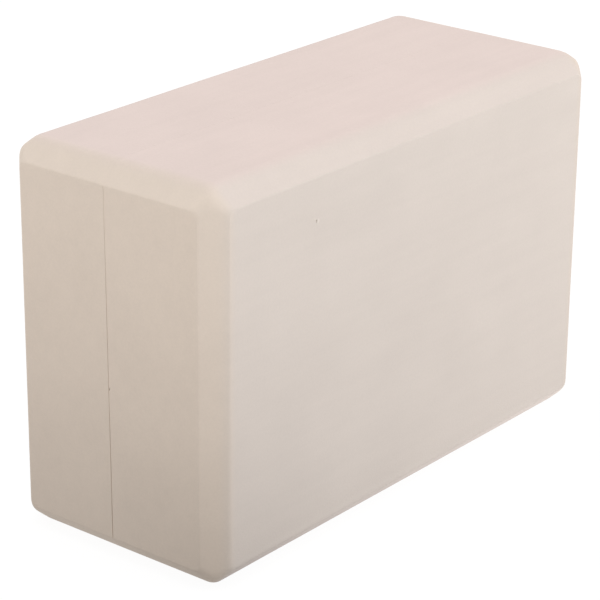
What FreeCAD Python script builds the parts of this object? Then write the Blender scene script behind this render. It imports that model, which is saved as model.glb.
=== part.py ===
"""Yoga block: two bevelled foam slabs glued face to face, standing on a long narrow side.

Millimetres. +X runs along the block, +Y from its front to its rear, +Z up. The origin is at the
middle of the face that it stands on.
"""
import FreeCAD, Part
import Sketcher

import os

# Driving dimensions: name and size.
DIMENSIONS = (
    # The whole block.
    ("block_length", 230.0),
    ("block_height", 151.0),
    ("block_thickness", 99.0),
    # How far a bevel reaches onto each of the two faces beside it, the same on every outer edge.
    ("edge_bevel", 7.8),
    # Radius that blunts the ridges where two bevels meet at a corner.
    ("mitre_rounding", 5.0),
    # Radii that soften the lines between bevels and flat faces: wide round the top and the bottom,
    # nearly crisp round the front, the rear and the ends.
    ("level_softening", 3.5),
    ("upright_softening", 0.8),
    # The glue between the slabs, and how far it stays inside their outline.
    ("glue_thickness", 0.2),
    ("glue_setback", 0.6),
    # Small bevel on each slab's glued edge, which opens the seam into a fine groove.
    ("seam_easing", 0.2),
)
# Sizes worked out from the driving ones.
DERIVED = (
    ("half_length", "=block_length / 2"),
    ("half_thickness", "=block_thickness / 2"),
    ("seam_offset", "=glue_thickness / 2"),
    ("slab_thickness", "=half_thickness - seam_offset"),
    ("glue_half_length", "=half_length - glue_setback"),
    ("glue_height", "=block_height - 2 * glue_setback"),
    # An outline set back evenly on all sides has a slightly shorter bevel at its corners.
    ("glue_bevel", "=edge_bevel - glue_setback * (2 - sqrt(2))"),
)
# A direction's share along an axis below which it counts as square to that axis.
SQUARE_SHARE = 1e-6
HALF_TURN_DEGREES = 180
MM3_PER_CM3 = 1000

doc = FreeCAD.newDocument("yoga_block")
sheet = doc.addObject("Spreadsheet::Sheet", "Dimensions")
for row, (alias, value) in enumerate(DIMENSIONS + DERIVED, start=1):
    sheet.set("A%d" % row, alias)
    sheet.set("B%d" % row, str(value))
    sheet.setAlias("B%d" % row, alias)
doc.recompute()


def size(alias):
    """Present value of a named size."""
    return float(sheet.get(alias))


def bound(item, prop, alias):
    """Tie a property to a named size."""
    item.setExpression(prop, "Dimensions." + alias)


def new_sketch(body, name, plane_role):
    """Empty sketch on one of the body's own origin planes."""
    sketch = body.newObject("Sketcher::SketchObject", name)
    plane = next(item for item in body.Origin.OriginFeatures if item.Role == plane_role)
    sketch.AttachmentSupport = [(plane, "")]
    sketch.MapMode = "FlatFace"
    return sketch


def dimension(sketch, kind, target, alias):
    """Constraint whose value follows a named size."""
    index = sketch.addConstraint(Sketcher.Constraint(kind, *target, size(alias)))
    bound(sketch, "Constraints[%d]" % index, alias)


def closed_loop(sketch, points):
    """Straight lines from point to point and back to the first; returns their numbers."""
    corners = [FreeCAD.Vector(across, up, 0) for across, up in points]
    lines = []
    for start, end in zip(corners, corners[1:] + corners[:1]):
        lines.append(sketch.addGeometry(Part.LineSegment(start, end), False))
    for line, following in zip(lines, lines[1:] + lines[:1]):
        sketch.addConstraint(Sketcher.Constraint("Coincident", line, 2, following, 1))
    return lines


def hold_start(sketch, line, kind, side, alias):
    """Hold a line's start at a named distance on one side of the origin, or on the level axis."""
    origin, start, level_axis = (-1, 1), (line, 1), -1
    if side == 0:
        sketch.addConstraint(Sketcher.Constraint("PointOnObject", *start, level_axis))
    else:
        dimension(sketch, kind, origin + start if side > 0 else start + origin, alias)


def standing_rectangle(sketch, half_length, height):
    """Rectangle centred on the upright axis, standing on the level one."""
    reach, top = size(half_length), size(height)
    base, right, upper, left = closed_loop(sketch, ((-reach, 0), (reach, 0), (reach, top), (-reach, top)))
    for line in (base, upper):
        sketch.addConstraint(Sketcher.Constraint("Horizontal", line))
    for line in (right, left):
        sketch.addConstraint(Sketcher.Constraint("Vertical", line))
    hold_start(sketch, base, "DistanceX", -1, half_length)
    hold_start(sketch, base, "DistanceY", 0, height)
    hold_start(sketch, upper, "DistanceX", 1, half_length)
    hold_start(sketch, upper, "DistanceY", 1, height)


def corner_triangle(sketch, across, up, leg):
    """The corner that a bevel takes off: two equal legs, running inwards from the corner.

    across and up each give the corner's side of the origin and the named distance from it.
    """
    (across_side, across_alias), (up_side, up_alias) = across, up
    corner_across, corner_up = across_side * size(across_alias), up_side * size(up_alias)
    inward_across = corner_across - across_side * size(leg)
    inward_up = corner_up + (size(leg) if up_side == 0 else -up_side * size(leg))
    level, _, upright = closed_loop(sketch, (
        (corner_across, corner_up), (inward_across, corner_up), (corner_across, inward_up)))
    sketch.addConstraint(Sketcher.Constraint("Horizontal", level))
    sketch.addConstraint(Sketcher.Constraint("Vertical", upright))
    dimension(sketch, "Distance", (level,), leg)
    dimension(sketch, "Distance", (upright,), leg)
    hold_start(sketch, level, "DistanceX", across_side, across_alias)
    hold_start(sketch, level, "DistanceY", up_side, up_alias)


def cut_bevels(body, name, plane_role, corners, leg):
    """One straight pass of the cutter along the whole body for each corner of a section."""
    before = body.Shape.Volume
    sketch = new_sketch(body, name + "_section", plane_role)
    for across, up in corners:
        corner_triangle(sketch, across, up, leg)
    cut = body.newObject("PartDesign::Pocket", name)
    cut.Profile = sketch
    cut.Type = "ThroughAll"
    cut.SideType = "Symmetric"
    doc.recompute()
    if not cut.Shape.Volume < before:
        raise RuntimeError("%s removed nothing" % name)


def mitre_edges(shape):
    """Ridges between two bevels: the edges that lean away from all three axes."""
    return [edge for edge in shape.Edges
            if min(abs(share) for share in edge.tangentAt(edge.FirstParameter)) > SQUARE_SHARE]


def cross_edges(shape):
    """Straight edges that run from front to rear."""
    return [edge for edge in shape.Edges
            if abs(edge.tangentAt(edge.FirstParameter).y) > 1 - SQUARE_SHARE]


def is_square(face):
    """Whether a face is flat and square to one of the axes."""
    if not isinstance(face.Surface, Part.Plane):
        return False
    return max(abs(share) for share in face.Surface.Axis) > 1 - SQUARE_SHARE


def seam_edges(shape):
    """Outline of the slab's flat inner face, the one furthest to the rear."""
    flat_faces = [face for face in shape.Faces if is_square(face)]
    return max(flat_faces, key=lambda face: face.CenterOfMass.y).Edges


def bevel_lines(shape, level):
    """Lines between the bevels and the level or the upright outer faces, none of them on the seam."""
    seam = seam_edges(shape)
    faces = [face for face in shape.Faces
             if is_square(face) and (abs(face.Surface.Axis.z) > SQUARE_SHARE) == level]
    return [edge for face in faces for edge in face.Edges
            if not any(edge.isSame(other) for other in seam)]


def level_lines(shape):
    """Outlines of the top and the bottom."""
    return bevel_lines(shape, True)


def upright_lines(shape):
    """Outlines of the front and the ends."""
    return bevel_lines(shape, False)


def dress(body, kind, name, pick_edges, prop, alias):
    """Round or bevel some edges of the body as it now stands."""
    base = body.Tip
    shape = base.Shape
    picked = pick_edges(shape)
    feature = body.newObject(kind, name)
    feature.Base = (base, ["Edge%d" % number for number, edge in enumerate(shape.Edges, start=1)
                           if any(edge.isSame(other) for other in picked)])
    bound(feature, prop, alias)
    doc.recompute()


def make_slab(name):
    """Half of the block, front side: bevelled on every outer edge and eased along the seam."""
    body = doc.addObject("PartDesign::Body", name)
    outline = new_sketch(body, name + "_outline", "XZ_Plane")
    bound(outline, "AttachmentOffset.Base.z", "seam_offset")
    standing_rectangle(outline, "half_length", "block_height")
    slab = body.newObject("PartDesign::Pad", name + "_blank")
    slab.Profile = outline
    bound(slab, "Length", "slab_thickness")
    doc.recompute()
    ends = ((-1, "half_length"), (1, "half_length"))
    levels = ((0, "block_height"), (1, "block_height"))
    front = (-1, "half_thickness")
    cut_bevels(body, name + "_corner_bevels", "XZ_Plane",
               [(end, level) for end in ends for level in levels], "edge_bevel")
    cut_bevels(body, name + "_long_bevels", "YZ_Plane", [(front, level) for level in levels], "edge_bevel")
    cut_bevels(body, name + "_end_bevels", "XY_Plane", [(end, front) for end in ends], "edge_bevel")
    dress(body, "PartDesign::Fillet", name + "_mitres", mitre_edges, "Radius", "mitre_rounding")
    dress(body, "PartDesign::Fillet", name + "_level_lines", level_lines, "Radius", "level_softening")
    dress(body, "PartDesign::Fillet", name + "_upright_lines", upright_lines, "Radius", "upright_softening")
    dress(body, "PartDesign::Chamfer", name + "_seam", seam_edges, "Size", "seam_easing")
    return body


def make_glue(name):
    """Layer of glue between the slabs, with their outline set back a little."""
    body = doc.addObject("PartDesign::Body", name)
    outline = new_sketch(body, name + "_outline", "XZ_Plane")
    bound(outline, "AttachmentOffset.Base.y", "glue_setback")
    standing_rectangle(outline, "glue_half_length", "glue_height")
    layer = body.newObject("PartDesign::Pad", name + "_layer")
    layer.Profile = outline
    layer.SideType = "Symmetric"
    bound(layer, "Length", "glue_thickness")
    doc.recompute()
    dress(body, "PartDesign::Chamfer", name + "_corners", cross_edges, "Size", "glue_bevel")
    return body


# The two slabs are the same cut: the rear one is turned half a turn about the upright axis.
half_turn = FreeCAD.Rotation(FreeCAD.Vector(0, 0, 1), HALF_TURN_DEGREES)
front_slab = make_slab("front_slab")
rear_slab = make_slab("rear_slab")
rear_slab.Placement = FreeCAD.Placement(FreeCAD.Vector(0, 0, 0), half_turn)
bond_film = make_glue("bond_film")
doc.recompute()

pieces = (front_slab, rear_slab, bond_film)
for item in doc.Objects:
    if "Invalid" in item.State or "Error" in item.State:
        raise RuntimeError("%s failed" % item.Name)
for piece in pieces:
    if piece.Shape.isNull() or not piece.Shape.isValid() or len(piece.Shape.Solids) != 1:
        raise RuntimeError("%s is not one sound solid" % piece.Label)

os.makedirs("parts", exist_ok=True)
for piece in pieces:
    piece.Shape.exportStep("parts/%s.step" % piece.Label)
    box = piece.Shape.optimalBoundingBox()
    print("%s: %.1f x %.1f x %.1f mm, %.1f cm3" % (
        piece.Label, box.XLength, box.YLength, box.ZLength, piece.Shape.Volume / MM3_PER_CM3))
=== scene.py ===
"""Looks of a foam yoga block: two bevelled slabs and the glue between them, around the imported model.

Metres. +X runs along the block, +Y from its front to its rear, +Z up, from the face that it stands on.
"""

import math

import bpy
import numpy as np
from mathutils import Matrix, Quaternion, Vector, noise


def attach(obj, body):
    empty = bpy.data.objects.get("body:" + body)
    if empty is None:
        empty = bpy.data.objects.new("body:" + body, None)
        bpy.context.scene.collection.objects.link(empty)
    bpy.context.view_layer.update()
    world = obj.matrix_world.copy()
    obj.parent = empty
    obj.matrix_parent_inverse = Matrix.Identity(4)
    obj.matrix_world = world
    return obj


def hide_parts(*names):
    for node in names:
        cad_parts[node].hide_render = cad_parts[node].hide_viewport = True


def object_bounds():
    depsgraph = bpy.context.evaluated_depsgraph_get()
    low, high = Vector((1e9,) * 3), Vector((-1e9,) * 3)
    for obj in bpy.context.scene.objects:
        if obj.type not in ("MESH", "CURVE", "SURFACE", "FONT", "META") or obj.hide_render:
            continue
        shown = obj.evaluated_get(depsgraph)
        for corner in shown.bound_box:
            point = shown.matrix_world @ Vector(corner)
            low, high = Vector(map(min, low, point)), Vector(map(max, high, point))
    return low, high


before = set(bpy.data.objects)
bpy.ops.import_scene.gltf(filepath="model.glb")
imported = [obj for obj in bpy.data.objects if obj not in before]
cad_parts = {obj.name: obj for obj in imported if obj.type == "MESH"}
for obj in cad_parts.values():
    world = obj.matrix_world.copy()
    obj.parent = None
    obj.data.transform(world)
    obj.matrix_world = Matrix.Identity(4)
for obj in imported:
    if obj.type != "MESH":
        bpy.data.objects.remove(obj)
cad_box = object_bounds()

MM = 0.001
# Keeps a divisor away from zero.
TINY = 1e-6

# The block's form. Its overall size comes from the imported model's bounds.
LENGTH, THICKNESS, HEIGHT = cad_box[1] - cad_box[0]
EDGE_BEVEL = 7.8 * MM
UPPER_LINE = HEIGHT - EDGE_BEVEL
# Roundings: ridges between two bevels, lines round the bottom, lines round the upright faces.
MITRE_ROUNDING = 5.0 * MM
BASE_SOFTENING = 3.5 * MM
UPRIGHT_SOFTENING = 0.8 * MM
# Towards the floor the lines round the front and the rear soften to this.
FOOT_SOFTENING = 3.0 * MM
# Lines round the top, at its front and at its rear.
TOP_SOFTENINGS = (7.0 * MM, 4.0 * MM)
# Angles by which the surface turns at those edges, and at a slab's edge on the seam.
MITRE_TURN = math.radians(60)
BEVEL_TURN = math.radians(45)
SEAM_TURN = math.radians(90)

# The seam leans a little: how far behind the middle it lies at the floor and at the top.
SEAM_PLACES = (0.15 * MM, 1.45 * MM)
# Where it stands fully open: its gap, and each slab's rounded edge.
SEAM_GAP = 0.27 * MM
SEAM_ROUNDING = 0.22 * MM
# How far it stands open: fully at the floor, less further up, hardly on the upper bevels, and a trace along
# the top. It closes just below the bevels. The trace starts and is complete at two depths below the top.
SEAM_CLOSING = 0.4 * MM
TRACE_START = 1.0 * MM
TRACE_END = 0.2 * MM
SEAM_HEIGHTS = (0, UPPER_LINE - SEAM_CLOSING, UPPER_LINE, HEIGHT - TRACE_START, HEIGHT - TRACE_END)
SEAM_OPEN_SHARES = (1.0, 0.4, 0.02, 0.02, 0.08)
# The glue at the bottom of the seam: how far in it ends, how far its edge strays, how finely it is drawn.
GLUE_THICKNESS = 0.01 * MM
GLUE_SETBACK = 0.6 * MM
GLUE_STRAY = 0.5 * MM
GLUE_STRAY_WIDTH = 8.0 * MM
GLUE_OUTLINE_STEP = 2.0 * MM

# Slow and quick unevenness of cut foam: depth and width of its waves. It only ever takes foam away.
UNEVENNESS = ((0.12 * MM, 45 * MM), (0.025 * MM, 9 * MM))

# Small damage on the front slab, place and half sizes: a nick in the front, its tail below it, and a nick at
# the seam, which is placed from a straight seam.
FRONT_NICK = Vector((-60.55 * MM, -THICKNESS / 2, 127.15 * MM))
NICK_TAIL = Vector((-60.6 * MM, -THICKNESS / 2, 126.75 * MM))
SEAM_NICK = Vector((-LENGTH / 2, -0.1 * MM, 66.8 * MM))
NICKS = (
    (FRONT_NICK, Vector((0.32, 1.1, 0.42)) * MM),
    (NICK_TAIL, Vector((0.24, 0.4, 0.6)) * MM),
    (SEAM_NICK, Vector((0.6, 0.3, 0.45)) * MM),
)
# Torn foam beside the front nick, paler than the rest: its place from the nick, its half sizes and its wear.
TORN_OFFSET = Vector((1.05, 0, -0.3)) * MM
TORN_HALF_SIZES = Vector((0.6, 1.0, 1.1)) * MM
TORN_WEAR = 7
# How far on each side of the crisp lines the foam is painted paler, a painted highlight where the edges
# catch the light with some rubbing, and how much of that painted highlight the bevels of the ends and the
# other bevels have. It is strongest at the top and ends at the floor, as the light does.
HIGHLIGHT_AND_RUB_WIDTH = 0.6 * MM
END_BEVEL_HIGHLIGHT = 1.35
LONG_BEVEL_HIGHLIGHT = 0.9
# How far the tint takes to change over, on each side of the line where the bevels of an end start, and how
# far the painted highlight of the other bevels takes to set in beside a level face.
TINT_SWING = 4.0 * MM

# Spacing of a slab's mesh: on open faces, in the middle of bevels, beside their lines, at nicks and at the
# seam, and how fast it widens between them.
OPEN_STEP = 2.5 * MM
BEVEL_STEP = 0.8 * MM
LINE_STEP = 0.2 * MM
NICK_STEP = 0.1 * MM
SEAM_STEP = 0.04 * MM
STEP_GROWTH = 0.25
# The mesh is laid out onto the form from an inner core: the core's depth, how far along each ray the form is
# looked for, where 1 is the block's box, and how often that stretch is halved.
CORE_DEPTH = 14 * MM
RAY_REACH = 2.0
BISECTIONS = 32

# Colours of the foam: faces cut across the block's length, broad faces, level faces, and pale worn spots and
# painted highlights.
# These face colours differ in tint by which way a face points: partly the foam's own finish, partly a
# painted tint of the light that falls on each face.
CUT_FOAM = (0.759, 0.646, 0.548, 1)
BROAD_FOAM = (0.722, 0.644, 0.587, 1)
LEVEL_FOAM = (0.758, 0.637, 0.592, 1)
PALE_WEAR_AND_HIGHLIGHT_FOAM = (0.88, 0.80, 0.73, 1)
# How much of the pale colour shows where the painted highlight and wear is 1.
WEAR_AND_HIGHLIGHT_SHARE = 0.12
# Waves in the foam's looks, each with its width and the two values that it swings between: shares of the
# colour in mottling, streaks and grain, then the share of the cells' relief, and the roughness.
MOTTLE = (28 * MM, 0.985, 1.015)
STREAKS = (5 * MM, 0.990, 1.010)
GRAIN = (0.9 * MM, 0.985, 1.015)
CELL_PATCHES = (4 * MM, 0.4, 1.0)
FOAM_ROUGHNESS = (3 * MM, 0.74, 0.88)
FOAM_SPECULAR = 0.2
# The streaks are drawn out along the block.
STREAK_STRETCH = (0.08, 1, 1)
# Fine cells in the foam: their size, their depth and how strongly they show.
CELL_SIZE = 0.7 * MM
CELL_DEPTH = 0.1 * MM
CELL_STRENGTH = 0.3
# Colours of the glue, and waves between them and in its roughness.
DRY_GLUE = (0.30, 0.24, 0.19, 1)
OLD_GLUE = (0.42, 0.34, 0.26, 1)
GLUE_MOTTLE = (6 * MM, 0.0, 1.0)
GLUE_ROUGHNESS = (2 * MM, 0.45, 0.7)
# Detail of the waves and of the finer grain, and the range that most of the noise behind them lies in.
WAVE_DETAIL = 2.0
GRAIN_DETAIL = 3.0
NOISE_RANGE = (0.3, 0.7)

# Camera at the photograph's place, aimed at a point near the block's middle.
CAMERA_PLACE = Vector((-708.72, -564.97, 426.92)) * MM
CAMERA_AIM = Vector((-3.20, 3.95, 66.19)) * MM
CAMERA_ROLL = math.radians(0.539)
CAMERA_LENS_MM = 150.87
SENSOR_MM = 36.0

# Softbox at the front right: its direction from the block, its distance, size and power.
LAMP_AZIMUTH = math.radians(40)
LAMP_RISE = math.radians(30)
LAMP_DISTANCE = 1.6
LAMP_SIZE = 1.0
LAMP_POWER = 3.59
# Soft light all round the block: from the walls at floor level, and how much more from straight above.
WALL_LIGHT = 0.30
CEILING_LIGHT = 1.35
# Light sent up by the floor far away. It fades towards two dull places, one before the block's near corner
# and one behind its near end: where they are, and the distance at which half of the light is left.
FLOOR_LIGHT = 1.86
DULL_PLACES = (
    (Vector((-0.159, -0.056, 0)), 0.086),
    (Vector((-0.113, 0.139, 0)), 0.079),
)
# What is seen behind and below the block: the backdrop's white, and the floor's own glow with a little grey
# that keeps a soft shadow.
WHITE = (1, 1, 1, 1)
BACKDROP_GLOW = 1.0
FLOOR_GLOW = 0.93
FLOOR_GREY = (0.1, 0.1, 0.1, 1)
FLOOR_HALF_WIDTH = 4.0


def rounded_max(first, second, radius, turn):
    """Larger of two fields, with the edge between them rounded.

    The rounding starts where the fields of two planes differ as much as they do at its ends.
    """
    blend = radius * (1 - math.cos(turn))
    overlap = np.maximum(blend - np.abs(first - second), 0)
    return np.maximum(first, second) + overlap ** 2 / (4 * blend)


def smooth_step(values, low, high):
    """0 below low, 1 above high, and an even swing between them."""
    share = np.clip((values - low) / (high - low), 0, 1)
    return share * share * (3 - 2 * share)


def spread_from(points, place, half_sizes):
    """Distance of points from a place, where 1 is the surface of an ellipsoid."""
    return np.linalg.norm((points - np.array(place)) / np.array(half_sizes), axis=1)


def block_fields(points):
    """Distances of points outside the block's bevels, its level faces, its ends and its broad sides.

    The block is the same on both sides of its middle planes, so one corner describes it.
    """
    ends = np.abs(points[:, 0]) - LENGTH / 2
    sides = np.abs(points[:, 1]) - THICKNESS / 2
    levels = np.abs(points[:, 2] - HEIGHT / 2) - HEIGHT / 2
    upright_bevels, end_bevels, long_bevels = (
        (first + second + EDGE_BEVEL) / math.sqrt(2)
        for first, second in ((ends, sides), (ends, levels), (sides, levels)))
    bevels = rounded_max(end_bevels, long_bevels, MITRE_ROUNDING, MITRE_TURN)
    bevels = rounded_max(bevels, upright_bevels, MITRE_ROUNDING, MITRE_TURN)
    return bevels, levels, ends, sides


def block_field(points, facing):
    """About the distance of a slab's points outside the whole block's surface, less than zero inside."""
    bevels, levels, ends, sides = block_fields(points)
    depths = points[:, 1] * facing[1]
    heights = points[:, 2]
    top_softening = np.interp(depths, (-THICKNESS / 2, THICKNESS / 2), TOP_SOFTENINGS)
    level_softening = np.where(heights > HEIGHT / 2, top_softening, BASE_SOFTENING)
    side_softening = np.interp(heights, (0, HEIGHT), (FOOT_SOFTENING, UPRIGHT_SOFTENING))
    form = rounded_max(bevels, levels, level_softening, BEVEL_TURN)
    form = rounded_max(form, ends, UPRIGHT_SOFTENING, BEVEL_TURN)
    return rounded_max(form, sides, side_softening, BEVEL_TURN)


def seam_places(heights):
    """How far behind the middle the seam lies at some heights."""
    return np.interp(heights, (0, HEIGHT), SEAM_PLACES)


def seam_open_shares(heights):
    """How far the seam stands open at some heights."""
    return np.interp(heights, SEAM_HEIGHTS, SEAM_OPEN_SHARES)


def slab_field(points, taken, nicks, facing):
    """The same for one slab with a straight seam: its eased edge, its unevenness and its nicks."""
    rounding = seam_open_shares(points[:, 2]) * SEAM_ROUNDING
    field = rounded_max(block_field(points, facing) + taken, points[:, 1], rounding, SEAM_TURN)
    for place, half_sizes in nicks:
        hollow = (1 - spread_from(points, place, half_sizes)) * min(half_sizes)
        field = np.maximum(field, hollow)
    return field


def unevenness(points):
    """How much foam the unevenness takes away at each point."""
    taken = np.zeros(len(points))
    for depth, width in UNEVENNESS:
        heaves = [noise.noise(Vector(point) / width) for point in points]
        taken += depth * (np.array(heaves) + 1) / 2
    return taken


def graded_places(low, high, fine_places):
    """Places along an axis, close together beside the fine places and wider apart elsewhere."""
    places = [low]
    while places[-1] < high:
        steps = [step + STEP_GROWTH * abs(places[-1] - place) for place, step in fine_places]
        places.append(places[-1] + min(steps + [OPEN_STEP]))
    shares = (np.array(places) - low) / (places[-1] - low)
    return low + shares * (high - low)


def slab_axes(low, high, nicks):
    """Places along each axis for a slab's mesh, fine at its bevels, its nicks and the seam."""
    fine = [[(low[axis], BEVEL_STEP), (low[axis] + EDGE_BEVEL, LINE_STEP)] for axis in range(3)]
    for axis in (0, 2):
        fine[axis] += [(high[axis] - EDGE_BEVEL, LINE_STEP), (high[axis], BEVEL_STEP)]
    fine[1].append((high[1], SEAM_STEP))
    for place, _ in nicks:
        for axis in range(3):
            fine[axis].append((place[axis], NICK_STEP))
    return [graded_places(low[axis], high[axis], fine[axis]) for axis in range(3)]


def lattice_skin(axes):
    """Points and outward quads of a box's skin, on a lattice of places along each axis."""
    counts = [len(places) for places in axes]
    on_skin = np.zeros(counts, bool)
    for axis, count in enumerate(counts):
        np.moveaxis(on_skin, axis, 0)[[0, count - 1]] = True
    numbers = np.zeros(counts, int)
    numbers[on_skin] = np.arange(on_skin.sum())
    points = np.stack(np.meshgrid(*axes, indexing="ij"), axis=-1)[on_skin]
    quads = []
    for axis, count in enumerate(counts):
        for side in (0, count - 1):
            sheet = numbers.take(side, axis=axis)
            ring = (sheet[:-1, :-1], sheet[1:, :-1], sheet[1:, 1:], sheet[:-1, 1:])
            faces = np.stack(ring, axis=-1).reshape(-1, len(ring))
            reverse = (side == 0) != (axis == 1)
            quads.append(faces[:, ::-1] if reverse else faces)
    return points, np.concatenate(quads)


def settle(points, core_low, core_high, field):
    """Move points along rays from an inner core onto the surface where the field is zero.

    The core touches the seam's plane. Points on that plane keep their shares of the way from the core's
    outline to the slab's.
    """
    core = np.clip(points, core_low, core_high)
    reach = points - core
    edge_share = np.abs(reach[:, [0, 2]]).max(axis=1) / CORE_DEPTH
    on_seam = points[:, 1] == core_high[1]
    growth = np.where(on_seam, 1 / np.maximum(edge_share, TINY), 1)
    inner = np.zeros(len(points))
    outer = np.full(len(points), RAY_REACH)
    for _ in range(BISECTIONS):
        middle = (inner + outer) / 2
        outside = field(core + reach * (growth * middle)[:, None]) > 0
        outer = np.where(outside, middle, outer)
        inner = np.where(outside, inner, middle)
    return core + reach * inner[:, None]


def open_seam(points, low, facing):
    """Points of a straight slab, moved so that the seam leans and stands open; its outer side stays."""
    heights = points[:, 2]
    shift = seam_places(heights) * facing[1] - seam_open_shares(heights) * SEAM_GAP / 2
    moved = points.copy()
    moved[:, 1] += shift * (1 - points[:, 1] / low[1])
    return moved


def mesh_object(name, points, faces):
    """Smooth-shaded mesh object in the scene."""
    mesh = bpy.data.meshes.new(name)
    mesh.from_pydata([tuple(point) for point in points], [], [tuple(face) for face in faces])
    mesh.shade_smooth()
    piece = bpy.data.objects.new(name, mesh)
    bpy.context.scene.collection.objects.link(piece)
    return piece


def store(mesh, name, values):
    """Keep one number for each point of a mesh, for its material."""
    mesh.attributes.new(name, "FLOAT", "POINT").data.foreach_set("value", values.astype(np.float32))


def highlight_and_rubbing(bevels, levels, uprights, cut_across):
    """How far the foam is painted paler: a painted highlight on its bevels, and beside their crisp lines a
    painted highlight with some rubbing.
    """
    beside_lines = np.clip(1 - np.abs(bevels - uprights) * math.sqrt(2) / HIGHLIGHT_AND_RUB_WIDTH, 0, 1)
    line_highlight_and_rub = beside_lines * (levels < uprights)
    below_level = smooth_step(bevels - levels, 0, TINT_SWING)
    bevel_highlight_strength = np.maximum(END_BEVEL_HIGHLIGHT * cut_across, LONG_BEVEL_HIGHLIGHT * below_level)
    bevel_highlight = smooth_step(bevels - uprights, 0, HIGHLIGHT_AND_RUB_WIDTH) * bevel_highlight_strength
    return np.maximum(line_highlight_and_rub, bevel_highlight)


def mark_foam(piece, points, nicks):
    """Note where a slab is cut across, where it is level, where it is worn and where a highlight is painted.
    """
    normals = np.zeros((len(points), 3), np.float32)
    piece.data.vertex_normals.foreach_get("vector", normals.ravel())
    _, across, up = (normals ** 2).T
    bevels, levels, ends, sides = block_fields(points)
    cut_across = smooth_step(ends, -EDGE_BEVEL - TINT_SWING, -EDGE_BEVEL + TINT_SWING)
    highlight_and_rub = highlight_and_rubbing(bevels, levels, np.maximum(ends, sides), cut_across)
    # The painted highlight is strongest at the top and fades out at the floor, as the light does.
    highlight_and_wear = highlight_and_rub * points[:, 2] / HEIGHT
    for place, _ in nicks[:1]:
        torn = np.clip(1 - spread_from(points, place + TORN_OFFSET, TORN_HALF_SIZES), 0, 1)
        highlight_and_wear = np.maximum(highlight_and_wear, TORN_WEAR * torn)
    # Which way a face points sets its tint, partly the foam's own finish and partly a painted tint of the
    # light.
    store(piece.data, "cut_across", cut_across)
    store(piece.data, "level", (up / np.maximum(across + up, TINY)) ** 2)
    store(piece.data, "highlight_and_wear", highlight_and_wear)


def make_slab(name, node, nicks, facing):
    """Foam slab with bevelled outer edges, worked out at the front and then turned to face its own way."""
    low = np.array((-LENGTH / 2, -THICKNESS / 2, 0))
    high = np.array((LENGTH / 2, 0, HEIGHT))
    points, quads = lattice_skin(slab_axes(low, high, nicks))
    taken = unevenness(points * facing)
    core_low = low + CORE_DEPTH
    core_high = high - np.array((CORE_DEPTH, 0, CORE_DEPTH))
    points = settle(points, core_low, core_high, lambda spots: slab_field(spots, taken, nicks, facing))
    points = open_seam(points, low, facing)
    piece = mesh_object(name, points * facing, quads)
    mark_foam(piece, points, nicks)
    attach(piece, "root")
    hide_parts(node)
    return piece


def glue_corners():
    """Corners of the glue's even outline, along the block and up: the block's own outline, further in."""
    side = LENGTH / 2 - GLUE_SETBACK
    low = GLUE_SETBACK
    high = HEIGHT - GLUE_SETBACK
    bevel = EDGE_BEVEL - GLUE_SETBACK * (2 - math.sqrt(2))
    corners = (
        (side, high - bevel), (side - bevel, high), (bevel - side, high), (-side, high - bevel),
        (-side, low + bevel), (bevel - side, low), (side - bevel, low), (side, low + bevel),
    )
    return [Vector(corner) for corner in corners]


def glue_outline():
    """The glue's outline, finely drawn, straying a little further in than the even one."""
    corners = glue_corners()
    middle = Vector((0, HEIGHT / 2))
    outline = []
    for start, end in zip(corners, corners[1:] + corners[:1]):
        steps = max(1, round((end - start).length / GLUE_OUTLINE_STEP))
        for step in range(steps):
            spot = start.lerp(end, step / steps)
            stray = (noise.noise(Vector((*spot, 0)) / GLUE_STRAY_WIDTH) + 1) / 2 * GLUE_STRAY
            outline.append(spot + (middle - spot).normalized() * stray)
    return outline


def make_glue(name, node):
    """Thin film of glue between the slabs."""
    outline = glue_outline()
    count = len(outline)
    sides = (-GLUE_THICKNESS / 2, GLUE_THICKNESS / 2)
    points = [(spot.x, seam_places(spot.y) + side, spot.y) for side in sides for spot in outline]
    around = [(step, (step + 1) % count) for step in range(count)]
    faces = [(first, second, second + count, first + count) for first, second in around]
    faces += [tuple(range(count))[::-1], tuple(range(count, 2 * count))]
    piece = mesh_object(name, points, faces)
    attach(piece, "root")
    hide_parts(node)
    return piece


def add_node(tree, kind, values=None, **settings):
    """New shader node with its settings, and a value or a link for each named or numbered input."""
    node = tree.nodes.new(kind)
    for name, value in settings.items():
        setattr(node, name, value)
    for name, value in (values or {}).items():
        if isinstance(value, bpy.types.NodeSocket):
            tree.links.new(value, node.inputs[name])
        else:
            node.inputs[name].default_value = value
    return node


def new_material(name):
    """Empty node material and its output node."""
    material = bpy.data.materials.new(name)
    material.use_nodes = True
    material.node_tree.nodes.clear()
    return material, material.node_tree.nodes.new("ShaderNodeOutputMaterial")


def mesh_value(tree, name):
    """Number stored on the mesh's points."""
    return add_node(tree, "ShaderNodeAttribute", attribute_name=name).outputs["Fac"]


def object_place(tree):
    """Place on the object that is being shaded."""
    return tree.nodes.new("ShaderNodeTexCoord").outputs["Object"]


def mixed_colours(tree, share, first, second):
    """Colour between two others."""
    return add_node(tree, "ShaderNodeMix", {0: share, 6: first, 7: second}, data_type="RGBA").outputs[2]


def mixed_shaders(tree, share, first, second):
    """Shader between two others."""
    return add_node(tree, "ShaderNodeMixShader", {0: share, 1: first, 2: second}).outputs[0]


def calculate(tree, operation, *numbers):
    """Result of a sum on two or three numbers or links."""
    return add_node(tree, "ShaderNodeMath", dict(enumerate(numbers)), operation=operation).outputs[0]


def product(tree, first, second):
    """Two numbers multiplied."""
    return calculate(tree, "MULTIPLY", first, second)


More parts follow.
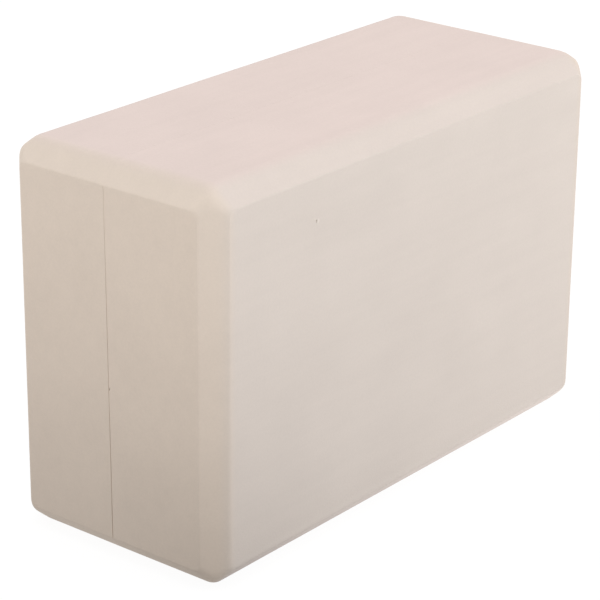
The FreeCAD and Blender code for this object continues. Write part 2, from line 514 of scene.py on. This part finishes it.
def waves(tree, place, swing, detail=WAVE_DETAIL):
    """Even noise with waves of about a given width, swinging between two values."""
    width, low, high = swing
    least, most = NOISE_RANGE
    cloud = add_node(tree, "ShaderNodeTexNoise", {"Vector": place, "Scale": 1 / width, "Detail": detail})
    return add_node(tree, "ShaderNodeMapRange", {
        "Value": cloud.outputs[0],
        "From Min": least,
        "From Max": most,
        "To Min": low,
        "To Max": high}).outputs[0]


def foam_colour(tree, place):
    """Beige tinted by which way a face points, partly the foam's own finish and partly a painted tint of the
    light on each face, mottled and streaked, and paler where it is worn and where a highlight is painted.
    """
    plain = mixed_colours(tree, mesh_value(tree, "level"), BROAD_FOAM, LEVEL_FOAM)
    tinted = mixed_colours(tree, mesh_value(tree, "cut_across"), plain, CUT_FOAM)
    drawn_out = add_node(tree, "ShaderNodeVectorMath", {0: place, 1: STREAK_STRETCH}, operation="MULTIPLY")
    mottle = waves(tree, place, MOTTLE)
    streaks = waves(tree, drawn_out.outputs[0], STREAKS)
    grain = waves(tree, place, GRAIN, GRAIN_DETAIL)
    value = product(tree, product(tree, mottle, streaks), grain)
    uneven = add_node(tree, "ShaderNodeHueSaturation", {"Color": tinted, "Value": value}).outputs[0]
    highlight_and_wear = product(tree, mesh_value(tree, "highlight_and_wear"), WEAR_AND_HIGHLIGHT_SHARE)
    return mixed_colours(tree, highlight_and_wear, uneven, PALE_WEAR_AND_HIGHLIGHT_FOAM)


def foam_material():
    """Dull beige closed-cell foam, with fine cells."""
    material, output = new_material("foam")
    tree = material.node_tree
    place = object_place(tree)
    cells = add_node(tree, "ShaderNodeTexVoronoi", {"Vector": place, "Scale": 1 / CELL_SIZE})
    relief = product(tree, cells.outputs["Distance"], waves(tree, place, CELL_PATCHES))
    bump = add_node(tree, "ShaderNodeBump", {
        "Height": relief,
        "Strength": CELL_STRENGTH,
        "Distance": CELL_DEPTH})
    skin = add_node(tree, "ShaderNodeBsdfPrincipled", {
        "Base Color": foam_colour(tree, place),
        "Roughness": waves(tree, place, FOAM_ROUGHNESS),
        "Specular IOR Level": FOAM_SPECULAR,
        "Normal": bump.outputs[0]})
    tree.links.new(skin.outputs["BSDF"], output.inputs["Surface"])
    return material


def glue_material():
    """Dried contact adhesive, brown and uneven."""
    material, output = new_material("glue")
    tree = material.node_tree
    place = object_place(tree)
    skin = add_node(tree, "ShaderNodeBsdfPrincipled", {
        "Base Color": mixed_colours(tree, waves(tree, place, GLUE_MOTTLE), DRY_GLUE, OLD_GLUE),
        "Roughness": waves(tree, place, GLUE_ROUGHNESS)})
    tree.links.new(skin.outputs["BSDF"], output.inputs["Surface"])
    return material


def aim_at(item, place, target):
    """Put a lamp or camera at a place, looking at a target."""
    item.location = place
    item.rotation_mode = "QUATERNION"
    item.rotation_quaternion = (target - place).to_track_quat("-Z", "Y")


def make_camera():
    """Camera at the photograph's viewpoint."""
    data = bpy.data.cameras.new("camera")
    data.sensor_width = SENSOR_MM
    data.lens = CAMERA_LENS_MM
    camera = bpy.data.objects.new("camera", data)
    bpy.context.scene.collection.objects.link(camera)
    aim_at(camera, CAMERA_PLACE, CAMERA_AIM)
    camera.rotation_quaternion = camera.rotation_quaternion @ Quaternion((0, 0, 1), CAMERA_ROLL)
    bpy.context.scene.camera = camera


def make_lamp():
    """Softbox, aimed at the block's middle."""
    data = bpy.data.lights.new("front_right", "AREA")
    data.size = LAMP_SIZE
    data.energy = LAMP_POWER
    lamp = bpy.data.objects.new("front_right", data)
    lamp.visible_camera = False
    bpy.context.scene.collection.objects.link(lamp)
    level_reach = math.cos(LAMP_RISE)
    direction = Vector((
        math.sin(LAMP_AZIMUTH) * level_reach,
        -math.cos(LAMP_AZIMUTH) * level_reach,
        math.sin(LAMP_RISE)))
    middle = Vector((0, 0, HEIGHT / 2))
    aim_at(lamp, middle + direction * LAMP_DISTANCE, middle)


def shown_directly(tree):
    """Link that is 1 for rays that show a background: from the camera, a mirror or glass."""
    path = tree.nodes.new("ShaderNodeLightPath").outputs
    either = calculate(tree, "MAXIMUM", path["Is Camera Ray"], path["Is Glossy Ray"])
    return calculate(tree, "MAXIMUM", either, path["Is Transmission Ray"])


def make_world():
    """White behind the block, and soft light all round it, brighter from higher up."""
    world = bpy.data.worlds.new("studio")
    bpy.context.scene.world = world
    world.use_nodes = True
    tree = world.node_tree
    tree.nodes.clear()
    direction = tree.nodes.new("ShaderNodeTexCoord").outputs["Generated"]
    rise = add_node(tree, "ShaderNodeSeparateXYZ", {0: direction}).outputs["Z"]
    strength = calculate(tree, "MULTIPLY_ADD", product(tree, rise, rise), CEILING_LIGHT, WALL_LIGHT)
    walls = add_node(tree, "ShaderNodeBackground", {"Color": WHITE, "Strength": strength})
    backdrop = add_node(tree, "ShaderNodeBackground", {"Color": WHITE, "Strength": BACKDROP_GLOW})
    both = mixed_shaders(tree, shown_directly(tree), walls.outputs[0], backdrop.outputs[0])
    output = tree.nodes.new("ShaderNodeOutputWorld")
    tree.links.new(both, output.inputs["Surface"])


def floor_light(tree):
    """Light that each place of the floor sends up."""
    place = object_place(tree)
    strength = FLOOR_LIGHT
    for centre, half_distance in DULL_PLACES:
        distance = add_node(tree, "ShaderNodeVectorMath", {0: place, 1: centre}, operation="DISTANCE")
        away = distance.outputs["Value"]
        share = calculate(tree, "DIVIDE", away, calculate(tree, "ADD", away, half_distance))
        strength = product(tree, share, strength)
    return strength


def floor_material():
    """Plain white that keeps a soft shadow, and soft light from below, least beside the block."""
    material, output = new_material("floor")
    tree = material.node_tree
    sent_up = add_node(tree, "ShaderNodeEmission", {"Color": WHITE, "Strength": floor_light(tree)})
    grey = add_node(tree, "ShaderNodeBsdfDiffuse", {"Color": FLOOR_GREY})
    glow = add_node(tree, "ShaderNodeEmission", {"Color": WHITE, "Strength": FLOOR_GLOW})
    shown = add_node(tree, "ShaderNodeAddShader", {0: grey.outputs[0], 1: glow.outputs[0]})
    both = mixed_shaders(tree, shown_directly(tree), sent_up.outputs[0], shown.outputs[0])
    tree.links.new(both, output.inputs["Surface"])
    return material


def make_floor():
    """Plain floor under the block."""
    reach = FLOOR_HALF_WIDTH
    corners = ((-reach, -reach, 0), (reach, -reach, 0), (reach, reach, 0), (-reach, reach, 0))
    floor = mesh_object("floor", corners, (range(len(corners)),))
    floor.data.materials.append(floor_material())


foam = foam_material()
slabs = (
    make_slab("front_slab_foam", "front_slab", NICKS, facing=np.array((1, 1, 1))),
    make_slab("rear_slab_foam", "rear_slab", (), facing=np.array((-1, -1, 1))),
)
for slab in slabs:
    slab.data.materials.append(foam)
make_glue("bond_film_glue", "bond_film").data.materials.append(glue_material())
make_camera()
make_lamp()
make_world()
make_floor()
bpy.context.scene.view_settings.view_transform = "Standard"
